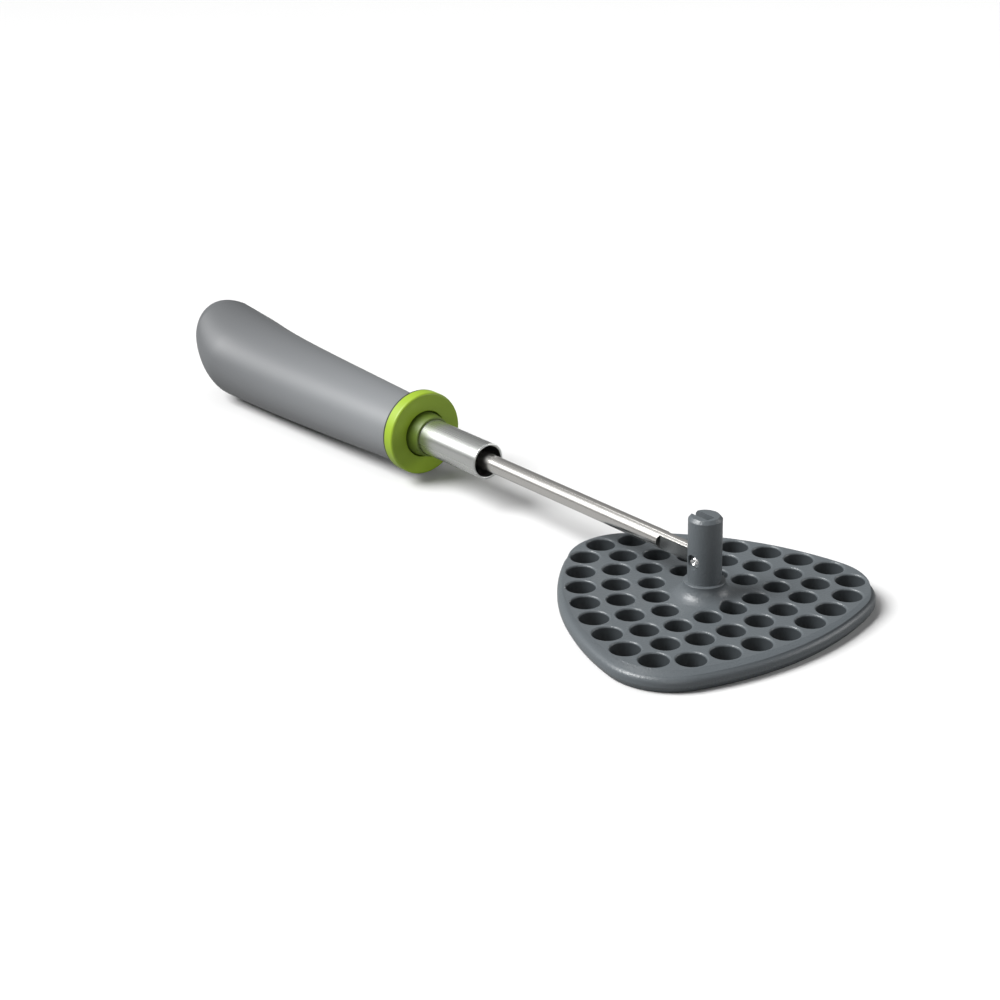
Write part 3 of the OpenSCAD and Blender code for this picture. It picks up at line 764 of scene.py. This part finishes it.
# ---------------------------------------------------------------- handle cover
CROWN_AT, BUTT_AT, CROWN_H = GRIP_L - CROWN_L, GRIP_L - BUTT_L, TOP_FRONT + TOP_RISE + TOP_HUMP


def round_off(v, p):
    """1 at v = 0, falling in a rounded shoulder to 0 at v = 1."""
    v = min(max(v, 0), 1)
    return max(1 - v ** p, 0) ** (1 / p)


def top_line(x):
    """Height of the cover's top, x behind the collar."""
    if x < CROWN_AT:
        u = x / CROWN_AT
        return TOP_FRONT + TOP_RISE * u + TOP_HUMP * u ** 7
    return BUTT_H + (CROWN_H - BUTT_H) * round_off((x - CROWN_AT) / CROWN_L, 3.5)


def belly_line(x):
    """Height of its underside there."""
    if x < BUTT_AT:
        return BELLY_H * max(1 - x / BELLY_L, 0) ** 1.5
    return BUTT_H * (1 - round_off((x - BUTT_AT) / BUTT_L, 1.6))


def build_grip():
    """The cover: rings between its top and belly lines, a point at the butt, and the bore."""
    n = 144
    rings = [(GRIP_EDGE * (1 - math.cos(t)), GRIP_EDGE * (1 - math.sin(t)))
             for t in np.linspace(0, math.pi / 2, 6)[:-1]]
    rings += [(GRIP_EDGE, 0.0)] + [(x, 0.0) for x in np.linspace(1.7, BUTT_AT, 60)[:-1]]
    rings += [(BUTT_AT + BUTT_L * math.sin(t), 0.0) for t in np.linspace(0, math.pi / 2, 64)[:-1]]
    verts, faces = [], []
    for x, cut_in in rings:
        top, low = top_line(x), belly_line(x)
        h = (top - low) / 2
        w = h * (GRIP_WIDE + GRIP_WIDER * (x / GRIP_L) ** 1.4) - cut_in
        s = FRONT + x
        axis = PIVOT - s * math.sin(TILT)
        for i in range(n):
            a = 2 * math.pi * i / n
            z = (top + low) / 2 + (h - cut_in) * math.sin(a) - axis
            verts.append(stem(s, w * math.cos(a), z / math.cos(TILT)))
    m = len(rings)
    for r in range(m - 1):
        for i in range(n):
            j = (i + 1) % n
            faces.append((r * n + i, r * n + j, (r + 1) * n + j, (r + 1) * n + i))
    tip = len(verts)
    s = FRONT + GRIP_L
    verts.append(stem(s, 0, (BUTT_H - PIVOT + s * math.sin(TILT)) / math.cos(TILT)))
    for i in range(n):
        faces.append(((m - 1) * n + i, (m - 1) * n + (i + 1) % n, tip))
    inner = len(verts)
    for s in (FRONT, GRIP_BORE_END):
        verts.extend(stem(s, GRIP_IN * c, GRIP_IN * t) for c, t in circle(n))
    for i in range(n):
        j = (i + 1) % n
        faces.append((i, inner + i, inner + j, j))
        faces.append((inner + i, inner + n + i, inner + n + j, inner + j))
    faces.append(tuple(inner + n + i for i in range(n)))
    return new_object("grip", verts, faces, True, 40)


grip = build_grip()
dress(grip, GRIP, "handle", ["grip_cover"])

# ---------------------------------------------------------------- CAD nodes that stay
for node, mat, slot in (("sleeve_stop_ring", HIDDEN, "hidden_steel"), ("anchor_pin", HIDDEN, "hidden_steel"),
                        ("handle_core", CORE, "core_plastic")):
    nodes[node].data.materials.clear()
    nodes[node].data.materials.append(mat)

# ---------------------------------------------------------------- floor, world, lamps
FLOOR_HALF, FLOOR_Z, FLOOR_SEEN, FLOOR_THROWS = 4, -0.0001, 0.71, 0.32
SKY_LOW, SKY_HIGH, SKY_DIFFUSE, SKY_MORE_IN_REFLECTIONS = 0.16, 0.34, 0.15, 0.90
SUN_STRENGTH, SUN_ANGLE, SUN_FROM = 5.0, math.radians(34), Vector((0.34, 0.58, 0.74))


def grey(level):
    return (level, level, level, 1)


floor_mesh = bpy.data.meshes.new("floor")
CORNERS = (-1, -1), (1, -1), (1, 1), (-1, 1)
floor_mesh.from_pydata([(x * FLOOR_HALF, y * FLOOR_HALF, FLOOR_Z) for x, y in CORNERS], [], [(0, 1, 2, 3)])
floor = bpy.data.objects.new("floor", floor_mesh)
bpy.context.scene.collection.objects.link(floor)
# one white for the camera, a duller one for the light that the floor throws back
fm = bpy.data.materials.new("floor_white")
fm.use_nodes = True
nt = fm.node_tree
nt.nodes.clear()
out = nt.nodes.new("ShaderNodeOutputMaterial")
path = nt.nodes.new("ShaderNodeLightPath")
plain = nt.nodes.new("ShaderNodeBsdfDiffuse")
plain.inputs["Color"].default_value = grey(FLOOR_THROWS)
seen = nt.nodes.new("ShaderNodeBsdfDiffuse")
seen.inputs["Color"].default_value = grey(FLOOR_SEEN)
mix = nt.nodes.new("ShaderNodeMixShader")
nt.links.new(path.outputs["Is Camera Ray"], mix.inputs[0])
nt.links.new(plain.outputs[0], mix.inputs[1])
nt.links.new(seen.outputs[0], mix.inputs[2])
nt.links.new(mix.outputs[0], out.inputs["Surface"])
floor_mesh.materials.append(fm)

# white for the camera; a grey sky, brighter overhead, for all other rays and stronger in reflections
world = bpy.data.worlds.new("world")
bpy.context.scene.world = world
world.use_nodes = True
nt = world.node_tree
nt.nodes.clear()
out = nt.nodes.new("ShaderNodeOutputWorld")
path = nt.nodes.new("ShaderNodeLightPath")
soft = nt.nodes.new("ShaderNodeBackground")
white = nt.nodes.new("ShaderNodeBackground")
white.inputs["Strength"].default_value = 1.0
coord = nt.nodes.new("ShaderNodeTexCoord")
split = nt.nodes.new("ShaderNodeSeparateXYZ")
ramp = nt.nodes.new("ShaderNodeValToRGB")
ramp.color_ramp.elements[0].position = 0.0
ramp.color_ramp.elements[0].color = grey(SKY_LOW)
ramp.color_ramp.elements[1].position = 1.0
ramp.color_ramp.elements[1].color = grey(SKY_HIGH)
mix = nt.nodes.new("ShaderNodeMixShader")
nt.links.new(coord.outputs["Generated"], split.inputs[0])
nt.links.new(split.outputs["Z"], ramp.inputs[0])
nt.links.new(ramp.outputs[0], soft.inputs["Color"])
mirrored = nt.nodes.new("ShaderNodeMath")
mirrored.operation = "MULTIPLY_ADD"
mirrored.inputs[1].default_value = SKY_MORE_IN_REFLECTIONS
mirrored.inputs[2].default_value = SKY_DIFFUSE
nt.links.new(path.outputs["Is Glossy Ray"], mirrored.inputs[0])
nt.links.new(mirrored.outputs[0], soft.inputs["Strength"])
nt.links.new(path.outputs["Is Camera Ray"], mix.inputs[0])
nt.links.new(soft.outputs[0], mix.inputs[1])
nt.links.new(white.outputs[0], mix.inputs[2])
nt.links.new(mix.outputs[0], out.inputs["Surface"])


def softbox(name, place, aim, width, depth, power):
    """A rectangular lamp at a place, aimed at a point; metres and watts."""
    data = bpy.data.lights.new(name, "AREA")
    data.shape, data.size, data.size_y, data.energy = "RECTANGLE", width, depth, power
    obj = bpy.data.objects.new(name, data)
    bpy.context.scene.collection.objects.link(obj)
    obj.location = place
    obj.rotation_mode = "QUATERNION"
    obj.rotation_quaternion = (Vector(aim) - Vector(place)).to_track_quat("-Z", "Y")


sun_data = bpy.data.lights.new("key", "SUN")
sun_data.energy, sun_data.angle = SUN_STRENGTH, SUN_ANGLE
sun = bpy.data.objects.new("key", sun_data)
bpy.context.scene.collection.objects.link(sun)
sun.rotation_mode = "QUATERNION"
sun.rotation_quaternion = SUN_FROM.to_track_quat("Z", "Y")
softbox("rim", (1.15, 0.80, 0.60), (0.12, 0, 0), 1.0, 0.5, 2.2)
softbox("right", (-0.60, -0.95, 0.40), (0.02, 0, 0.02), 0.8, 0.5, 4.5)
softbox("top", (0.50, -0.05, 1.10), (0.05, 0, 0), 0.8, 0.30, 2.8)
softbox("front", (-1.00, 0.75, 0.42), (0.05, 0, 0.02), 0.8, 0.6, 2.3)

bpy.context.scene.view_settings.view_transform = "Standard"
